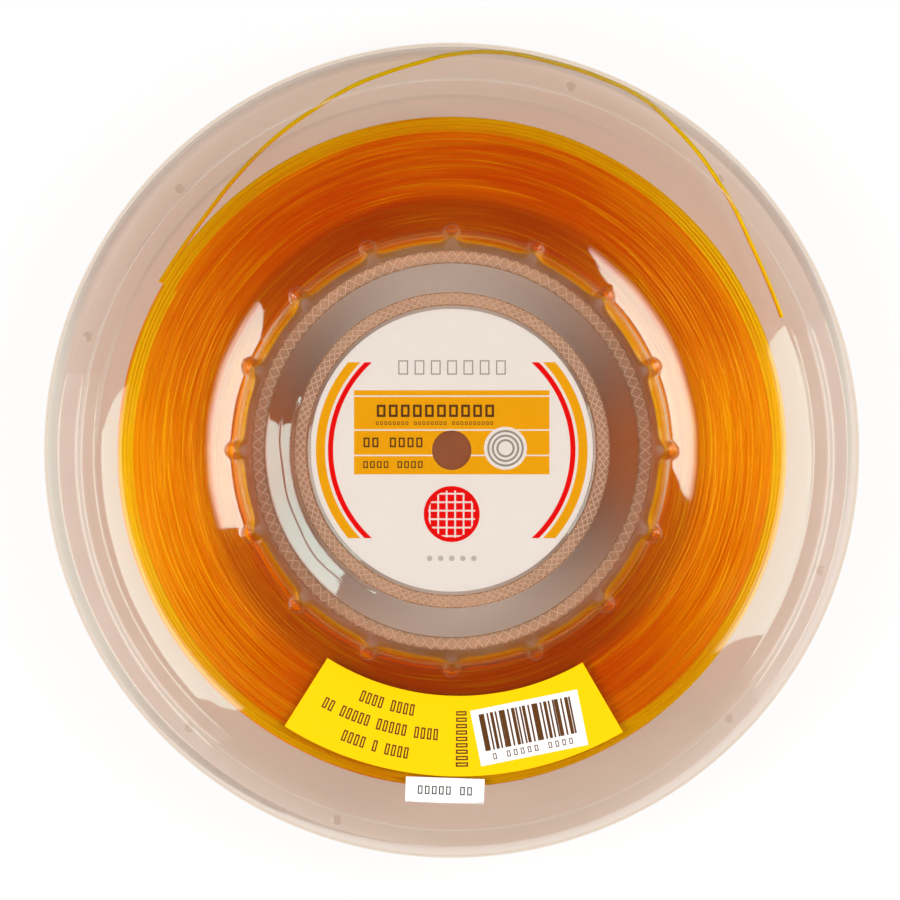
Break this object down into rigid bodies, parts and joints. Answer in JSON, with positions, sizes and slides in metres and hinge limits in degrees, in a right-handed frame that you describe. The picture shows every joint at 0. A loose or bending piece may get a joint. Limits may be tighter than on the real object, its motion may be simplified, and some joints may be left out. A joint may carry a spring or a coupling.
{
  "type": "string reel",
  "caption": "Clear formed plastic reel wound with amber racket string, two welded flanged shells round a printed centre label, with a spindle hole.",
  "frame": {"origin": "on the reel's axis at the lowest point of its rear face, which it lies on", "axes": "+Z along the reel's axis, out of the front face with the stickers; +Y towards the side of the rim opposite the stickers"},
  "size_m": [0.25, 0.25, 0.0221],
  "materials": {
    "clear_sheet": "clear glossy thermoformed sheet",
    "printed_card": "smooth coated card, printed",
    "yellow_sticker": "satin self-adhesive label",
    "white_sticker": "satin self-adhesive label",
    "amber_string": "smooth glossy monofilament, see-through amber"
  },
  "bodies": {
    "root": {"front_shell": "clear_sheet", "rear_shell": "clear_sheet", "centre_label": "printed_card", "size_label": "yellow_sticker", "batch_label": "white_sticker", "string_winding": "amber_string", "string_tail": "amber_string"}
  },
  "joints": []
}
